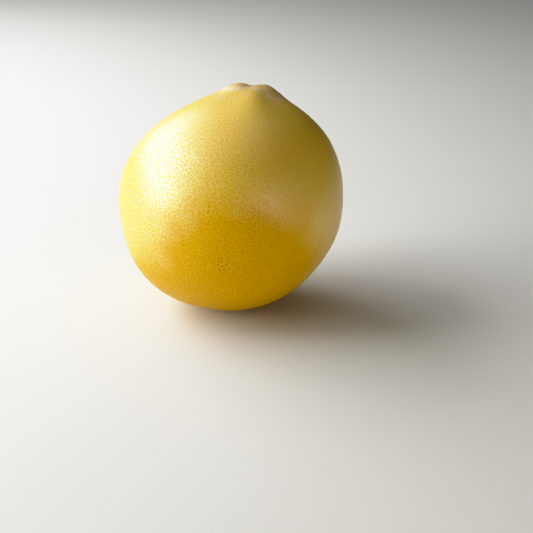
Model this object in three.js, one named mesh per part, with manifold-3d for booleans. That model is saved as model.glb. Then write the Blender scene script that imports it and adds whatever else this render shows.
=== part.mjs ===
// A whole pomelo, as picked: a pear-shaped citrus fruit with a short ribbed neck, and the dry woody button
// that the stalk leaves in the hollow on top of it. The fruit lies as it rests, leaning back and to one side,
// on a small flat spot. Millimetres, +Z up. The origin is on the flat spot, straight below the fruit's middle.
import * as THREE from "three";
import { mergeVertices } from "three/addons/utils/BufferGeometryUtils.js";
import Module from "manifold-3d";

const wasm = await Module();
wasm.setup();

const DEGREE = Math.PI / 180;

// How far the skin lies from the middle of the fruit: degrees from the stalk, then the distance on the full
// side (+X) and on the lean side (-X). The front and the back lie half-way between the two.
const OUTLINE = [
  [0, 78.1, 78.1],
  [7, 78.2, 75.5],
  [14, 76.7, 73.4],
  [22, 74.9, 69.9],
  [34, 75.2, 68.0],
  [48, 76.2, 68.0],
  [64, 76.0, 69.9],
  [82, 75.0, 73.6],
  [98, 75.0, 75.1],
  [116, 74.8, 75.2],
  [142, 75.3, 78.4],
  [160, 75.7, 78.2],
  [180, 76.3, 76.3],
];

// The neck's ribs: how many there are, how far they stand out, how narrow the furrows between them are, and
// the degrees from the stalk where they are boldest and over which they fade in and out.
const RIBS = 4;
const RIB_HEIGHT = 1.4;
const RIB_NARROWING = 0.17;
const RIB_MIDDLE = 11;
const RIB_FADE_IN = 4.2;
const RIB_FADE_OUT = 8.5;

// The low keel that runs down the front of the neck, below its furrow: how far it stands out, the degrees from
// the stalk where it is highest and over which it fades, and the same round the stalk, from the full side.
const KEEL_HEIGHT = 2;
const KEEL_MIDDLE = 28;
const KEEL_LENGTH = 20;
const KEEL_TURN = -86;
const KEEL_WIDTH = 17;

// The stalk's hollow in the crown, with its floor and its brim in degrees from the stalk.
const HOLLOW_DEPTH = 5.5;
const HOLLOW_FLOOR = 3.8;
const HOLLOW_BRIM = 9;

// The dimple at the blossom end, opposite the stalk, and its width in degrees.
const DIMPLE_DEPTH = 0.9;
const DIMPLE_WIDTH = 5;

// The skin's own low swells: height, and how many radians of wave they make across one radius. They rise over
// these degrees from the stalk, below the ribs.
const SWELL_HEIGHT = 0.7;
const SWELL_WAVES = 4.2;
const SWELL_START = 10;
const SWELL_FULL = 45;

// How the fruit lies: degrees that the stalk leans to +X and back to +Y, and the height of its middle, which
// is a little less than its own reach downwards, so that it has a flat spot to rest on.
const LEAN_SIDE = 11;
const LEAN_BACK = 20;
const MIDDLE_HEIGHT = 75.5;

// The button in the hollow: a calyx with rounded lobes, and the cut stalk that stands on it.
const CALYX_RADIUS = 4.3;
const CALYX_LOBES = 5;
const LOBE_REACH = 0.5;
const CALYX_HEIGHT = 2.2;
const CALYX_EDGE = 0.6;
const CALYX_SUNK = 1.1;
const STALK_RADIUS = 2.3;
const STALK_FLARE = 0.5;
const STALK_HEIGHT = 1.2;
const PITH_RADIUS = 0.8;
const PITH_DEPTH = 0.5;
const GAP = 0.3;

// Facets round the fruit and from end to end, and how far its rows crowd towards the two ends.
const MERIDIANS = 84;
const ROWS = 56;
const CROWDING = 0.25;
const CALYX_SIDES = 40;
const STALK_SIDES = 20;

// The outline's slope at a station: level at both ends, and elsewhere from the station before to the one after.
function slopeAt(station, side) {
  if (station === 0 || station === OUTLINE.length - 1) return 0;
  const before = OUTLINE[station - 1];
  const after = OUTLINE[station + 1];
  return (after[side] - before[side]) / (after[0] - before[0]);
}

// A smooth cubic through the outline's stations, for one side of the fruit.
function outlineAt(angle, side) {
  let station = 0;
  while (station < OUTLINE.length - 2 && angle > OUTLINE[station + 1][0]) station += 1;
  const [from, to] = [OUTLINE[station], OUTLINE[station + 1]];
  const width = to[0] - from[0];
  const t = (angle - from[0]) / width;
  const start = (1 + 2 * t) * (1 - t) ** 2;
  const end = t * t * (3 - 2 * t);
  const leave = t * (1 - t) ** 2 * width * slopeAt(station, side);
  const arrive = t * t * (t - 1) * width * slopeAt(station + 1, side);
  return start * from[side] + end * to[side] + leave + arrive;
}

// Broad ribs with narrower furrows round the neck. A furrow runs down the front and one down each side.
function ribs(angle, turn) {
  const fade = angle < RIB_MIDDLE ? RIB_FADE_IN : RIB_FADE_OUT;
  const strength = Math.exp(-(((angle - RIB_MIDDLE) / fade) ** 2));
  return -RIB_HEIGHT * strength * (Math.cos(RIBS * turn) + RIB_NARROWING * Math.cos(2 * RIBS * turn));
}

// The keel: a smooth bell over the angle and over the turn.
function keel(angle, turn) {
  const along = (angle - KEEL_MIDDLE) / KEEL_LENGTH;
  const round = (turn / DEGREE - KEEL_TURN) / KEEL_WIDTH;
  return KEEL_HEIGHT * Math.exp(-along * along - round * round);
}

// The hollow that holds the button, and the dimple at the other end.
function hollows(angle) {
  const wall = THREE.MathUtils.smoothstep(angle, HOLLOW_FLOOR, HOLLOW_BRIM);
  const dimple = Math.exp(-(((180 - angle) / DIMPLE_WIDTH) ** 2));
  return -HOLLOW_DEPTH * (1 - wall) - DIMPLE_DEPTH * dimple;
}

// Long, low swells in the skin, worked out from the direction alone, so that they close up all round.
function swells(angle, direction) {
  const { x, y, z } = direction;
  const across = Math.sin(SWELL_WAVES * x + 1.3) * Math.sin(SWELL_WAVES * y + 0.4);
  const along = Math.sin(1.5 * SWELL_WAVES * z + 2 * x - y);
  const rise = THREE.MathUtils.smoothstep(angle, SWELL_START, SWELL_FULL);
  return SWELL_HEIGHT * rise * (0.6 * across + 0.4 * along);
}

// The skin's distance from the middle, in a direction that is given by its angle from the stalk and its turn
// about it from the full side, and as a unit vector.
function skin(angle, turn, direction) {
  const full = (1 + Math.cos(turn)) / 2;
  const outline = full * outlineAt(angle, 1) + (1 - full) * outlineAt(angle, 2);
  return outline + ribs(angle, turn) + keel(angle, turn) + hollows(angle) + swells(angle, direction);
}

// A copy of a geometry with its shared vertices joined, as its triangles alone.
function joined(geometry) {
  const bare = geometry.clone();
  bare.deleteAttribute("normal");
  bare.deleteAttribute("uv");
  return mergeVertices(bare, 1e-5);
}

// The closed skin, stalk upwards: a sphere whose points are moved out to the skin's distance.
function skinGeometry() {
  const geometry = joined(new THREE.SphereGeometry(1, MERIDIANS, ROWS).rotateX(Math.PI / 2));
  const points = geometry.attributes.position;
  const point = new THREE.Vector3();
  for (let i = 0; i < points.count; i++) {
    point.fromBufferAttribute(points, i).normalize();
    const even = Math.acos(point.z);
    const angle = even - CROWDING * Math.sin(2 * even);
    const turn = Math.atan2(point.y, point.x);
    point.set(Math.sin(angle) * Math.cos(turn), Math.sin(angle) * Math.sin(turn), Math.cos(angle));
    point.multiplyScalar(skin(angle / DEGREE, turn, point));
    points.setXYZ(i, point.x, point.y, point.z);
  }
  return geometry;
}

function toSolid(geometry) {
  const merged = joined(geometry);
  return new wasm.Manifold(
    new wasm.Mesh({
      numProp: 3,
      vertProperties: new Float32Array(merged.attributes.position.array),
      triVerts: new Uint32Array(merged.index.array),
    }),
  );
}

function toGeometry(solid) {
  const { vertProperties, triVerts } = solid.getMesh();
  const geometry = new THREE.BufferGeometry();
  geometry.setAttribute("position", new THREE.BufferAttribute(vertProperties, 3));
  geometry.setIndex(new THREE.BufferAttribute(triVerts, 1));
  return geometry;
}

// The calyx's outline: low rounded lobes on a disc, drawn larger by the room that is asked for round it.
function calyxShape(room) {
  const outline = [];
  for (let i = 0; i < CALYX_SIDES; i++) {
    const turn = (2 * Math.PI * i) / CALYX_SIDES;
    const reach = CALYX_RADIUS + LOBE_REACH * Math.cos(CALYX_LOBES * turn) + room;
    outline.push(new THREE.Vector2(reach * Math.cos(turn), reach * Math.sin(turn)));
  }
  return new THREE.Shape(outline);
}

// The calyx, a disc with rounded edges.
function calyxGeometry(foot) {
  const calyx = new THREE.ExtrudeGeometry(calyxShape(-CALYX_EDGE), {
    depth: CALYX_HEIGHT - 2 * CALYX_EDGE,
    bevelThickness: CALYX_EDGE,
    bevelSize: CALYX_EDGE,
    bevelSegments: 2,
  });
  return calyx.translate(0, 0, foot + CALYX_EDGE);
}

// The cut stalk, flared where it grows out of the calyx, with the pith's small hollow in its cut face.
function stalkGeometry(foot) {
  const middle = foot + CALYX_HEIGHT / 2;
  const top = foot + CALYX_HEIGHT + STALK_HEIGHT;
  const profile = [
    new THREE.Vector2(0, middle),
    new THREE.Vector2(STALK_RADIUS + STALK_FLARE, middle),
    new THREE.Vector2(STALK_RADIUS + STALK_FLARE, foot + CALYX_HEIGHT),
    new THREE.Vector2(STALK_RADIUS, foot + CALYX_HEIGHT + STALK_FLARE),
    new THREE.Vector2(STALK_RADIUS, top - PITH_DEPTH),
    new THREE.Vector2(STALK_RADIUS - PITH_DEPTH, top),
    new THREE.Vector2(PITH_RADIUS, top),
    new THREE.Vector2(0, top - PITH_DEPTH),
  ];
  return new THREE.LatheGeometry(profile, STALK_SIDES).rotateX(Math.PI / 2);
}

// The room that the button needs, cut from the hollow's floor.
function seatGeometry(foot) {
  const settings = { depth: CALYX_HEIGHT + GAP, bevelEnabled: false };
  return new THREE.ExtrudeGeometry(calyxShape(GAP), settings).translate(0, 0, foot - GAP);
}

// From the fruit with its stalk upwards to the fruit as it lies.
const pose = new THREE.Matrix4()
  .makeTranslation(0, 0, MIDDLE_HEIGHT)
  .multiply(new THREE.Matrix4().makeRotationX(-LEAN_BACK * DEGREE))
  .multiply(new THREE.Matrix4().makeRotationY(LEAN_SIDE * DEGREE));

const foot = OUTLINE[0][1] - HOLLOW_DEPTH - CALYX_SUNK;
const peel = new THREE.MeshStandardMaterial({ color: 0xe0b52c, roughness: 0.42, metalness: 0 });
const wood = new THREE.MeshStandardMaterial({ color: 0x6e4b2a, roughness: 0.85, metalness: 0 });

// The fruit: its skin with the button's seat cut in it, laid down, with the flat spot cut below.
const seated = toSolid(skinGeometry()).subtract(toSolid(seatGeometry(foot)));
const lying = toSolid(toGeometry(seated).applyMatrix4(pose));
const surface = toSolid(new THREE.BoxGeometry(100, 100, 20).translate(0, 0, -10));
const fruit = new THREE.Mesh(toGeometry(lying.subtract(surface)), peel);
fruit.name = "fruit";

// The button: the calyx and the cut stalk, grown together.
const grown = toSolid(calyxGeometry(foot)).add(toSolid(stalkGeometry(foot)));
const button = new THREE.Mesh(toGeometry(grown).applyMatrix4(pose), wood);
button.name = "stem_button";

const pomelo = new THREE.Group();
pomelo.add(fruit, button);

export default pomelo;
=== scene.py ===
import bpy
import numpy as np
from mathutils import Matrix, Vector


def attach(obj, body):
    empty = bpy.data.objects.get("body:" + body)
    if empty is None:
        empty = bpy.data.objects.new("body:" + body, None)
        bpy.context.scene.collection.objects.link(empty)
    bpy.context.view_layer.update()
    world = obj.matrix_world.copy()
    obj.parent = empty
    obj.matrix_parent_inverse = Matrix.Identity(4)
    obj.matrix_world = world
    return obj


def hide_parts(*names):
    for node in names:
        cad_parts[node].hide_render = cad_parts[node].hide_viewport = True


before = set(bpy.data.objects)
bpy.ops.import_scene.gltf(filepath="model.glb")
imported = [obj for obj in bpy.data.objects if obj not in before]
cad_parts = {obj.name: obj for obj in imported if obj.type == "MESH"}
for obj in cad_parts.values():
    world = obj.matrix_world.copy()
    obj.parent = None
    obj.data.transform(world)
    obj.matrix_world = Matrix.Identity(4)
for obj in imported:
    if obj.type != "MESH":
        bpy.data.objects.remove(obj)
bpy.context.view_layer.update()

MM = 0.001

# The fruit's outline: degrees from the stalk, then the skin's distance from the middle in millimetres on the
# full side (+X) and on the lean side (-X).
OUTLINE = np.array([
    [0, 78.1, 78.1],
    [7, 78.2, 75.5],
    [14, 76.7, 73.4],
    [22, 74.9, 69.9],
    [34, 75.2, 68.0],
    [48, 76.2, 68.0],
    [64, 76.0, 69.9],
    [82, 75.0, 73.6],
    [98, 75.0, 75.1],
    [116, 74.8, 75.2],
    [142, 75.3, 78.4],
    [160, 75.7, 78.2],
    [180, 76.3, 76.3],
])

# The neck's ribs, the stalk's hollow, the dimple at the blossom end, the low keel down the front of the neck
# and the low swells all over, in millimetres and degrees.
RIBS = 4
RIB_HEIGHT = 1.4
RIB_NARROWING = 0.17
RIB_MIDDLE = 11
RIB_FADE_IN = 4.2
RIB_FADE_OUT = 8.5
HOLLOW_DEPTH = 5.5
HOLLOW_FLOOR = 3.8
HOLLOW_BRIM = 9
DIMPLE_DEPTH = 0.9
DIMPLE_WIDTH = 5
KEEL_HEIGHT = 2.0
KEEL_MIDDLE = 28
KEEL_LENGTH = 20
KEEL_TURN = -86
KEEL_WIDTH = 17
SWELL_HEIGHT = 0.7
SWELL_WAVES = 4.2
SWELL_START = 10
SWELL_FULL = 45

# The resting pose: how far the stalk leans to the side and back, and the height of the fruit's middle.
LEAN_SIDE = 11
LEAN_BACK = 20
MIDDLE_HEIGHT = 75.5
FLAT_ROUNDING = 0.3

# The button: a lobed calyx with the cut stalk on it.
CALYX_RADIUS = 4.3
CALYX_LOBES = 5
LOBE_REACH = 0.5
CALYX_HEIGHT = 2.2
CALYX_EDGE = 0.6
CALYX_SUNK = 1.1
STALK_RADIUS = 2.3
STALK_FLARE = 0.5
STALK_HEIGHT = 1.2
PITH_RADIUS = 0.8
PITH_DEPTH = 0.5

# The peel's fine surface: cells along each side of the six charts that it is drawn on, the radius that the
# charts' own millimetres are measured at, and how far apart the charts lie from each other.
CHART_CELLS = 128
CHART_RADIUS = 75
CHART_SPACING = 400

# The distance between oil glands.
GLAND_SPACING = 1.95

# Where the peel changes, as directions from the fruit's middle with the stalk upwards. Dark flecks gather
# within some millimetres of a place on the front. Deep gold lies within some degrees of a place low on the
# front, where its darker gold is partly painted shade, and beyond some degrees from the stalk. The glands
# turn faint on one shoulder, between two cosines of the angle to it.
FLECKS_AT = np.array([0.04, -0.81, -0.58])
FLECKS_WIDTH = 5.5
SHADED_GOLD_AT = np.array([0.2, -0.75, -0.64])
SHADED_GOLD_REACH = 41
GOLD_BELOW = 128
FAINT_AT = np.array([0.75, -0.35, 0.55])
FAINT_EDGE = 0.35
FAINT_FULL = 0.9

# The russet on the neck, in degrees: how far from the stalk it reaches in a furrow, and how much further on
# a rib, on the left and on the front right. The last two fade over a width to both sides of their turn. The
# front right rib's crest is bare, round its own turn and angle.
RUSSET_REACH = 10.3
RUSSET_ON_RIB = 5.2
RUSSET_LEFT = 3.5
RUSSET_LEFT_TURN = -130
RUSSET_LEFT_WIDTH = 45
RUSSET_RIGHT = 8.5
RUSSET_RIGHT_TURN = -54
RUSSET_RIGHT_WIDTH = 32
FURROW_SHARPNESS = 6
BARE_CREST = 9
BARE_CREST_TURN = -52
BARE_CREST_WIDTH = 26
BARE_CREST_ANGLE = 8
BARE_CREST_LENGTH = 2.4

# The camera: the picture's side in pixels, the pixel where the fruit's middle shows, the lens in pixels, and
# how far away and how high it stands.
PICTURE = 533
MIDDLE_PIXEL = (231, 197)
LENS_PIXELS = 1340
CAMERA_DISTANCE = 0.9
CAMERA_ELEVATION = 20
SENSOR_MM = 36

# The floor, in millimetres: half its side, and how far it lies below the fruit. Then the studio's own glow.
FLOOR_REACH = 6000
FLOOR_GAP = 0.2
STUDIO_GLOW = 0.03

# The picture's tones: its black and its white, and how bright some tones between them are shown.
FILM_BLACK = 0.014
FILM_WHITE = 1.6
FILM_TONES = [(0.14, 0.13), (0.3, 0.29), (0.5, 0.49), (0.8, 0.77), (1.0, 0.88), (1.3, 0.96)]


def smooth_step(x, low, high):
    """0 below low, 1 above high, and three times the square less twice the cube of the share between."""
    share = np.clip((x - low) / (high - low), 0, 1)
    return share * share * (3 - 2 * share)


def bell(x, middle, width):
    """1 at the middle, falling off on both sides as the exponential of minus the square of the widths."""
    return np.exp(-(((x - middle) / width) ** 2))


def outline_at(angle, side):
    """A cubic through the outline's stations. Its slope at a station is that from the station before to the
    one after, and level at both ends."""
    stations, distance = OUTLINE[:, 0], OUTLINE[:, side]
    slope = np.zeros(len(stations))
    slope[1:-1] = (distance[2:] - distance[:-2]) / (stations[2:] - stations[:-2])
    i = np.clip(np.searchsorted(stations, angle) - 1, 0, len(stations) - 2)
    width = stations[i + 1] - stations[i]
    t = (angle - stations[i]) / width
    start = (1 + 2 * t) * (1 - t) ** 2 * distance[i]
    end = t * t * (3 - 2 * t) * distance[i + 1]
    leave = t * (1 - t) ** 2 * width * slope[i]
    arrive = t * t * (t - 1) * width * slope[i + 1]
    return start + end + leave + arrive


def angle_and_turn(direction):
    """Degrees from the stalk, and radians round it from the full side."""
    angle = np.degrees(np.arccos(np.clip(direction[:, 2], -1, 1)))
    return angle, np.arctan2(direction[:, 1], direction[:, 0])


def skin_distance(direction):
    """The outline, shared between the full side and the lean side by the cosine of the turn, with the ribs
    (a bell over the angle, times a wave round the stalk), the keel (a bell over both), the stalk's hollow,
    the dimple at the blossom end and the low swells (sines of the direction) added to it."""
    angle, turn = angle_and_turn(direction)
    x, y, z = direction.T
    full = (1 + np.cos(turn)) / 2
    outline = full * outline_at(angle, 1) + (1 - full) * outline_at(angle, 2)
    fade = np.where(angle < RIB_MIDDLE, RIB_FADE_IN, RIB_FADE_OUT)
    wave = np.cos(RIBS * turn) + RIB_NARROWING * np.cos(2 * RIBS * turn)
    ribs = -RIB_HEIGHT * bell(angle, RIB_MIDDLE, fade) * wave
    hollow = -HOLLOW_DEPTH * (1 - smooth_step(angle, HOLLOW_FLOOR, HOLLOW_BRIM))
    dimple = -DIMPLE_DEPTH * bell(angle, 180, DIMPLE_WIDTH)
    across_keel = bell(np.degrees(turn), KEEL_TURN, KEEL_WIDTH)
    keel = KEEL_HEIGHT * bell(angle, KEEL_MIDDLE, KEEL_LENGTH) * across_keel
    across = np.sin(SWELL_WAVES * x + 1.3) * np.sin(SWELL_WAVES * y + 0.4)
    along = np.sin(1.5 * SWELL_WAVES * z + 2 * x - y)
    swells = SWELL_HEIGHT * smooth_step(angle, SWELL_START, SWELL_FULL) * (0.6 * across + 0.4 * along)
    return outline + ribs + keel + hollow + dimple + swells


def laid_down(points):
    """Points of the upright fruit, in millimetres, turned by the two leans and lifted to the middle's
    height. What comes below the surface is pressed flat, by a smooth choice of the higher of the two."""
    side, back = np.radians(LEAN_SIDE), np.radians(LEAN_BACK)
    x = points[:, 0] * np.cos(side) + points[:, 2] * np.sin(side)
    along = points[:, 2] * np.cos(side) - points[:, 0] * np.sin(side)
    y = points[:, 1] * np.cos(back) + along * np.sin(back)
    z = along * np.cos(back) - points[:, 1] * np.sin(back) + MIDDLE_HEIGHT
    z = (z + np.sqrt(z * z + FLAT_ROUNDING ** 2)) / 2
    return np.stack([x, y, z], 1)


def add_mesh(name, points, faces, material, chart_map=None):
    """A smooth mesh object at the origin, from points in millimetres and faces that all have as many
    corners. chart_map gives each face corner its place on the piece's own map, in millimetres."""
    mesh = bpy.data.meshes.new(name)
    mesh.from_pydata((points * MM).tolist(), [], faces.tolist())
    if chart_map is not None:
        layer = mesh.uv_layers.new(name="charts")
        layer.uv.foreach_set("vector", (chart_map * MM).astype(np.float32).ravel())
    mesh.materials.append(material)
    mesh.shade_smooth()
    piece = bpy.data.objects.new(name, mesh)
    bpy.context.scene.collection.objects.link(piece)
    return piece


def add_attribute(piece, name, values):
    """One number for each of the piece's points, which its material can read by name."""
    layer = piece.data.attributes.new(name, "FLOAT", "POINT")
    layer.data.foreach_set("value", values.astype(np.float32))


def charts():
    """Six square charts that cover all directions. Each is a grid of equal angles about one axis: a
    direction is the axis plus the tangents of two angles along the other two. A corner's place on its chart
    is its angle from the axis, laid off at true length along its own bearing."""
    x, y, z = np.eye(3)
    axes = [(x, y, z), (-x, z, y), (y, z, x), (-y, x, z), (z, x, y), (-z, y, x)]
    steps = np.tan(np.radians(np.linspace(-45, 45, CHART_CELLS + 1)))
    across, up = (grid.ravel()[:, None] for grid in np.meshgrid(steps, steps, indexing="ij"))
    row = np.arange(CHART_CELLS)
    corner = (row[:, None] * (CHART_CELLS + 1) + row).ravel()
    next_row = corner + CHART_CELLS + 1
    square = np.stack([corner, next_row, next_row + 1, corner + 1], 1)
    directions, places, faces = [], [], []
    for number, (axis, right, top) in enumerate(axes):
        direction = axis + across * right + up * top
        direction /= np.linalg.norm(direction, axis=1)[:, None]
        bearing = np.stack([direction @ right, direction @ top], 1)
        off_axis = np.arccos(np.clip(direction @ axis, -1, 1))
        stretch = CHART_RADIUS / np.sinc(off_axis / np.pi)
        directions.append(direction)
        places.append(bearing * stretch[:, None] + number * CHART_SPACING)
        faces.append(square + number * len(direction))
    return np.concatenate(directions), np.concatenate(places), np.concatenate(faces)


def make_peel(material):
    """The fruit's skin: the six charts joined into one closed surface, moved out to the skin's distance."""
    directions, places, faces = charts()
    _, first, joined = np.unique(np.round(directions, 6), axis=0, return_index=True, return_inverse=True)
    direction = directions[first]
    points = laid_down(direction * skin_distance(direction)[:, None])
    piece = add_mesh("peel", points, joined.ravel()[faces], material, places[faces].reshape(-1, 2))
    angle, turn = angle_and_turn(direction)
    # Russet covers the hollow's brim, runs down the ribs, furthest down the front right one, and stops short
    # in the furrows. The russet on the left has the more silvery edge.
    degrees = np.degrees(turn)
    on_rib = 1 - ((1 + np.cos(RIBS * turn)) / 2) ** FURROW_SHARPNESS
    left = bell(degrees, RUSSET_LEFT_TURN, RUSSET_LEFT_WIDTH)
    right = bell(degrees, RUSSET_RIGHT_TURN, RUSSET_RIGHT_WIDTH)
    bare = bell(degrees, BARE_CREST_TURN, BARE_CREST_WIDTH)
    bare = bare * bell(angle, BARE_CREST_ANGLE, BARE_CREST_LENGTH)
    reach = RUSSET_REACH + RUSSET_ON_RIB * on_rib + RUSSET_LEFT * left + RUSSET_RIGHT * right
    add_attribute(piece, "russet", reach - angle - BARE_CREST * bare)
    add_attribute(piece, "pale_russet", left)
    add_attribute(piece, "from_stalk", angle)
    # Deep gold without wax covers a round patch low on the front and the whole blossom end. The round
    # patch's darker gold is partly the peel's own colour and partly painted shade.
    from_shaded_gold = np.degrees(np.arccos(np.clip(direction @ SHADED_GOLD_AT / np.linalg.norm(SHADED_GOLD_AT), -1, 1)))
    add_attribute(piece, "gold_and_shade", np.maximum(SHADED_GOLD_REACH - from_shaded_gold, angle - GOLD_BELOW))
    # The glands hardly show on the shoulder behind the front right rib.
    to_shoulder = direction @ FAINT_AT / np.linalg.norm(FAINT_AT)
    add_attribute(piece, "faint", smooth_step(to_shoulder, FAINT_EDGE, FAINT_FULL))
    away = np.linalg.norm(direction - FLECKS_AT, axis=1) * CHART_RADIUS
    add_attribute(piece, "flecks", bell(away, 0, FLECKS_WIDTH))
    return piece


def softened(values, times):
    """A list of numbers with its corners rounded, by averaging neighbours and keeping both ends."""
    for _ in range(times):
        values[1:-1] = (values[:-2] + 2 * values[1:-1] + values[2:]) / 4
    return values


def make_button(material):
    """The calyx and the cut stalk as one revolved surface. Its profile runs from the middle of the foot out
    over the calyx and up the stalk to the pith. The calyx's radius gains a cosine of the turn for its lobes,
    and fine sines of the turn give both their wrinkles."""
    foot = OUTLINE[0, 1] - HOLLOW_DEPTH - CALYX_SUNK
    shoulder = foot + CALYX_HEIGHT
    top = shoulder + STALK_HEIGHT
    profile = np.array([
        [0, foot, 0],
        [CALYX_RADIUS - CALYX_EDGE, foot, 1],
        [CALYX_RADIUS, foot + CALYX_EDGE, 1],
        [CALYX_RADIUS, shoulder - CALYX_EDGE, 1],
        [CALYX_RADIUS - CALYX_EDGE, shoulder, 1],
        [STALK_RADIUS + STALK_FLARE, shoulder - 0.3 * CALYX_EDGE, 0.3],
        [STALK_RADIUS, shoulder + STALK_FLARE, 0],
        [STALK_RADIUS, top - PITH_DEPTH / 2, 0],
        [STALK_RADIUS - PITH_DEPTH / 2, top, 0],
        [PITH_RADIUS, top, 0],
        [0, top - PITH_DEPTH, 0],
    ])
    rings, sides = 96, 144
    length = np.append(0, np.cumsum(np.linalg.norm(np.diff(profile[:, :2], axis=0), axis=1)))
    at = np.linspace(0, length[-1], rings)
    radius, height, lobed = (softened(np.interp(at, length, profile[:, i]), 3) for i in range(3))
    turn = np.linspace(0, 2 * np.pi, sides, endpoint=False)
    radius, height, lobed = radius[1:-1, None], height[1:-1, None], lobed[1:-1, None]
    fine = np.sin(19 * turn + 2 * height) + 0.6 * np.sin(31 * turn - 3 * radius)
    wrinkle = fine + 0.5 * np.sin(7 * turn + 1)
    reach = radius + lobed * LOBE_REACH * np.cos(CALYX_LOBES * turn) + 0.05 * np.minimum(radius, 2) * wrinkle
    lift = height + 0.06 * np.minimum(radius, 2) * np.sin(13 * turn + 1.7 * radius) * (height > foot + 1)
    body = np.stack([reach * np.cos(turn), reach * np.sin(turn), lift], 2).reshape(-1, 3)
    points = np.concatenate([[[0, 0, foot]], body, [[0, 0, top - PITH_DEPTH]]])
    last = len(points) - 1
    ring = 1 + np.arange(rings - 3)[:, None] * sides
    here, beside = np.arange(sides), (np.arange(sides) + 1) % sides
    squares = np.stack([ring + here, ring + beside, ring + sides + beside, ring + sides + here], 2)
    first_half, second_half = squares[:, :, [0, 1, 2]], squares[:, :, [0, 2, 3]]
    bottom = np.stack([np.zeros(sides, int), 1 + beside, 1 + here], 1)
    cap = np.stack([np.full(sides, last), last - sides + here, last - sides + beside], 1)
    faces = np.concatenate([bottom, first_half.reshape(-1, 3), second_half.reshape(-1, 3), cap])
    return add_mesh("button", laid_down(points), faces, material)


# Settings of a cell pattern that is drawn on a chart.
CELLS = {"voronoi_dimensions": "2D", "feature": "F1"}


class Wire:
    """A socket in a material. Arithmetic on it adds the Math nodes that work it out."""

    def __init__(self, tree, socket=None):
        self.tree = tree
        self.socket = socket

    def node(self, kind, settings=None, inputs=None, output=0):
        """Adds a node: its settings first, then the values or wires of its inputs. Returns one output."""
        node = self.tree.nodes.new(kind)
        for name, value in (settings or {}).items():
            setattr(node, name, value)
        for name, value in (inputs or {}).items():
            if isinstance(value, Wire):
                self.tree.links.new(value.socket, node.inputs[name])
            else:
                node.inputs[name].default_value = value
        return Wire(self.tree, node.outputs[output])

    def math(self, operation, *values):
        return self.node("ShaderNodeMath", {"operation": operation}, dict(enumerate(values)))

    def __add__(self, other):
        return self.math("ADD", self, other)

    def __sub__(self, other):
        return self.math("SUBTRACT", self, other)

    def __rsub__(self, other):
        return self.math("SUBTRACT", other, self)

    def __mul__(self, other):
        return self.math("MULTIPLY", self, other)

    __radd__ = __add__
    __rmul__ = __mul__

    def larger(self, other):
        return self.math("MAXIMUM", self, other)

    def between(self, low, high):
        """0 where this is below low, 1 where it is above high, with a smooth step between."""
        return self.node(
            "ShaderNodeMapRange", {"interpolation_type": "SMOOTHSTEP"},
            {"Value": self, "From Min": low, "From Max": high})

    def blend(self, first, second):
        """The first colour where this is 0 and the second where it is 1."""
        return self.node("ShaderNodeMix", {"data_type": "RGBA"}, {0: self, 6: first, 7: second}, 2)

    def noise(self, size_mm, detail=2, roughness=0.5, output=0):
        """Cloudy noise on this place, with clouds about size_mm across. Output 0 runs from 0 to 1."""
        return self.node(
            "ShaderNodeTexNoise", None,
            {"Vector": self, "Scale": 1 / (size_mm * MM), "Detail": detail, "Roughness": roughness}, output)

    def shifted(self, by, scale):
        """This place moved by another vector times a scale."""
        step = self.node("ShaderNodeVectorMath", {"operation": "SCALE"}, {0: by, "Scale": scale})
        return self.node("ShaderNodeVectorMath", {"operation": "ADD"}, {0: self, 1: step})


def new_material(name):
    """An empty material, as its name's datablock and a wire to start from."""
    material = bpy.data.materials.new(name)
    material.use_nodes = True
    material.node_tree.nodes.clear()
    return material, Wire(material.node_tree)


def finish_material(start, shader_inputs):
    """Joins a Principled shader with these inputs to the material's surface."""
    shader = start.node("ShaderNodeBsdfPrincipled", None, shader_inputs)
    output = start.tree.nodes.new("ShaderNodeOutputMaterial")
    start.tree.links.new(shader.socket, output.inputs["Surface"])


def colour(red, green, blue):
    """A colour as it is named on a screen, from 0 to 255, as the shader's linear numbers."""
    screen = np.array([red, green, blue]) / 255
    linear = np.where(screen <= 0.04045, screen / 12.92, ((screen + 0.055) / 1.055) ** 2.4)
    return (*linear.tolist(), 1.0)


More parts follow.
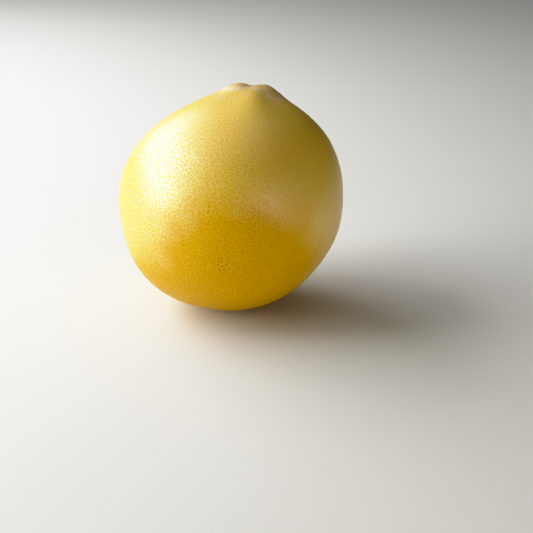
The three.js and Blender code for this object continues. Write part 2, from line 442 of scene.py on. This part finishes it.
def peel_material():
    material, start = new_material("waxy peel")
    place = start.node("ShaderNodeTexCoord", output="Object")
    chart = start.node("ShaderNodeUVMap", {"uv_map": "charts"})
    russet_depth = start.node("ShaderNodeAttribute", {"attribute_name": "russet"}, output="Fac")
    pale_russet = start.node("ShaderNodeAttribute", {"attribute_name": "pale_russet"}, output="Fac")
    from_stalk = start.node("ShaderNodeAttribute", {"attribute_name": "from_stalk"}, output="Fac")
    gold_and_shade_depth = start.node("ShaderNodeAttribute", {"attribute_name": "gold_and_shade"}, output="Fac")
    fleck_area = start.node("ShaderNodeAttribute", {"attribute_name": "flecks"}, output="Fac")
    faint = start.node("ShaderNodeAttribute", {"attribute_name": "faint"}, output="Fac")

    # The oil glands: round spots in cells about a gland's spacing apart, with fainter ones between them.
    wavy = chart.shifted(place.noise(9, output=1), 1.6 * MM)
    gland_cells = {"Vector": wavy, "Scale": 1 / (GLAND_SPACING * MM), "Randomness": 0.72}
    from_gland = start.node("ShaderNodeTexVoronoi", CELLS, gland_cells, "Distance")
    cell_colour = start.node("ShaderNodeTexVoronoi", CELLS, gland_cells, "Color")
    chance = start.node("ShaderNodeSeparateColor", None, {"Color": cell_colour}, 0)
    small_cells = {"Vector": wavy, "Scale": 1.55 / (GLAND_SPACING * MM), "Randomness": 0.9}
    from_small = start.node("ShaderNodeTexVoronoi", CELLS, small_cells, "Distance")
    gland = (1 - from_gland.between(0.12, 0.53)) * (chance * 0.4 + 0.7)
    small_gland = (1 - from_small.between(0.05, 0.4)) * 0.3
    glands = gland.larger(small_gland)

    # The russet: grey-brown cork on the neck, with ragged edges and loose spots below them.
    russet_edge = place.noise(3.6, 4, 0.72) * 22 - 11 + russet_depth
    russet = russet_edge.between(-0.8, 1.2)
    spots = place.noise(2, 3).between(0.57, 0.62) * russet_depth.between(-19, -7)
    russet_all = russet.larger(spots * 0.8)
    plain_skin = from_stalk.between(12, 34)
    gland_depth = glands * (plain_skin * 0.75 + 0.25) * (1 - faint * 0.6) * (1 - russet)

    # The colour: a pale network between deeper yellow glands, a little greener or warmer in places.
    cloud = place.noise(38, 1).between(0.35, 0.65)
    # Deeper, darker gold: the peel's own at the blossom end, partly painted shade on the round patch low on
    # the front.
    gold_and_shade = (gold_and_shade_depth + place.noise(20, 3) * 14 - 7).between(-11, 11)
    pale = cloud.blend(colour(229, 195, 66), colour(231, 190, 62))
    network = gold_and_shade.blend(pale, colour(212, 166, 20))
    bright = cloud.blend(colour(218, 181, 0), colour(221, 177, 0))
    deep = gold_and_shade.blend(bright, colour(200, 151, 0))
    mottled = place.noise(5, 3).between(0.3, 0.75)
    yellow = (gland_depth + mottled * 0.15).blend(network, deep)
    dark_dots = fleck_area * gland.between(0.55, 0.95) * chance.between(0.35, 0.6)
    freckle_cells = {"Vector": chart, "Scale": 1 / (11 * MM)}
    from_freckle = start.node("ShaderNodeTexVoronoi", CELLS, freckle_cells, "Distance")
    freckles = (1 - from_freckle.between(0.02, 0.045)) * place.noise(25, 1).between(0.45, 0.6)
    flecked = (dark_dots * 0.75).larger(freckles * 0.5)
    marked = flecked.blend(yellow, colour(112, 66, 14))
    crazing = place.noise(2.2, 3).between(0.3, 0.7)
    fringe = (1 - russet_edge.between(1.5, 6)) * (pale_russet * 0.5 + 0.5)
    brown = crazing.blend(colour(214, 180, 138), colour(174, 138, 98))
    silvery = crazing.blend(colour(230, 210, 202), colour(204, 176, 160))
    cork = fringe.blend(brown, silvery)
    final_colour = (russet_all * (fringe * 0.2 + crazing * 0.15 + 0.6)).blend(marked, cork)

    # The wax on the skin between the glands, all over but for the deep gold and its painted shade.
    wax = (1 - gland_depth * 0.88) * (1 - russet_all * 0.6) * (1 - gold_and_shade * 0.95) * (1 - flecked)

    # The relief and the shine: sunken matt glands in a smooth waxy skin that is a little uneven.
    uneven = place.noise(6, 2) * 0.35
    relief = uneven - gland_depth
    bump = {"Strength": 1.0, "Distance": 0.12 * MM, "Height": relief}
    finish_material(start, {
        "Base Color": final_colour,
        "Roughness": gland_depth * 0.2 + russet_all * 0.25 + 0.4,
        "Normal": start.node("ShaderNodeBump", None, bump),
        "Specular IOR Level": 0.1,
        "Coat Weight": wax,
        "Coat Roughness": 0.43,
        "Coat IOR": 2.6,
    })
    return material


def button_material():
    material, start = new_material("dry stalk")
    place = start.node("ShaderNodeTexCoord", output="Object")
    grain = place.noise(0.9, 4, 0.7)
    bark = grain.between(0.3, 0.7).blend(colour(92, 66, 42), colour(148, 116, 80))
    grey = place.noise(2.5, 2).between(0.5, 0.7).blend(bark, colour(150, 138, 118))
    normal = start.node("ShaderNodeBump", None, {"Strength": 1.0, "Distance": 0.2 * MM, "Height": grain})
    finish_material(start, {"Base Color": grey, "Roughness": grain * 0.2 + 0.7, "Normal": normal})
    return material


def floor_material():
    material, start = new_material("pale floor")
    finish_material(start, {"Base Color": (0.74, 0.73, 0.71, 1.0), "Roughness": 0.9})
    return material


def softbox(name, direction, distance, width, height, power, tint):
    """A rectangular studio light that stands in a direction from the fruit's middle and faces it."""
    light = bpy.data.lights.new(name, "AREA")
    light.shape = "RECTANGLE"
    light.size = width
    light.size_y = height
    light.energy = power
    light.color = tint
    lamp = bpy.data.objects.new(name, light)
    towards = Vector(direction).normalized()
    lamp.location = Vector((0, 0, MIDDLE_HEIGHT * MM)) + towards * distance
    lamp.rotation_euler = towards.to_track_quat("Z", "Y").to_euler()
    lamp.visible_camera = False
    bpy.context.scene.collection.objects.link(lamp)


def place_camera():
    """The camera stands off the fruit's middle at its elevation, looking along +Y, and is then tipped and
    swung so that the middle shows at its own pixel."""
    right = MIDDLE_PIXEL[0] - PICTURE / 2
    up = PICTURE / 2 - MIDDLE_PIXEL[1]
    elevation = np.radians(CAMERA_ELEVATION)
    tip = np.arctan2(up, np.hypot(right, LENS_PIXELS))
    swing = np.arctan2(right, LENS_PIXELS)
    camera = bpy.data.objects.new("camera", bpy.data.cameras.new("camera"))
    camera.data.sensor_width = SENSOR_MM
    camera.data.lens = SENSOR_MM * LENS_PIXELS / PICTURE
    camera.data.clip_start = 0.05
    middle = Vector((0, 0, MIDDLE_HEIGHT * MM))
    stand = Vector((0, -np.cos(elevation), np.sin(elevation))) * CAMERA_DISTANCE
    camera.matrix_world = (
        Matrix.Translation(middle + stand)
        @ Matrix.Rotation(np.pi / 2 - elevation - tip, 4, "X")
        @ Matrix.Rotation(swing, 4, "Y"))
    bpy.context.scene.collection.objects.link(camera)
    bpy.context.scene.camera = camera


def film_response(view):
    """The picture's tones: as they are up to the middle ones, then rolled off up to the white point, as on
    film, with the faintest haze taken off the dark ones."""
    view.view_transform = "Standard"
    view.use_curve_mapping = True
    curves = view.curve_mapping
    curves.black_level = (FILM_BLACK,) * 3
    curves.white_level = (FILM_WHITE,) * 3
    tones = curves.curves[3]
    for light, shown in FILM_TONES:
        tones.points.new((light - FILM_BLACK) / (FILM_WHITE - FILM_BLACK), shown)
    curves.update()


place_camera()

peel = make_peel(peel_material())
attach(peel, "root")
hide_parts("fruit")

button = make_button(button_material())
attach(button, "root")
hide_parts("stem_button")

corners = np.array([[-1, -1, 0], [1, -1, 0], [1, 1, 0], [-1, 1, 0]]) * FLOOR_REACH
floor = add_mesh("floor", corners - [0, 0, FLOOR_GAP], np.array([[0, 1, 2, 3]]), floor_material())

# The lights: direction, distance, width and height in metres, power in watts and tint.
softbox("key", (-0.83, 0.05, 0.56), 1.0, 0.75, 0.75, 10.9, (0.97, 0.99, 1.0))
softbox("side", (-0.94, -0.25, 0.2), 1.0, 0.6, 0.4, 6.0, (1.0, 0.98, 0.84))
softbox("back", (-0.61, 0.61, 0.5), 1.0, 0.6, 0.6, 6.8, (1.0, 0.99, 1.0))
softbox("top", (0.0, 0.09, 0.99), 1.2, 1.2, 1.2, 1.9, (1.0, 1.0, 0.8))
softbox("fill", (0.49, -0.87, 0.08), 1.0, 0.6, 0.3, 2.7, (1.0, 0.86, 0.8))

world = bpy.data.worlds.new("studio")
world.use_nodes = True
world.node_tree.nodes["Background"].inputs["Color"].default_value = (1.0, 1.0, 1.0, 1.0)
world.node_tree.nodes["Background"].inputs["Strength"].default_value = STUDIO_GLOW
bpy.context.scene.world = world
film_response(bpy.context.scene.view_settings)
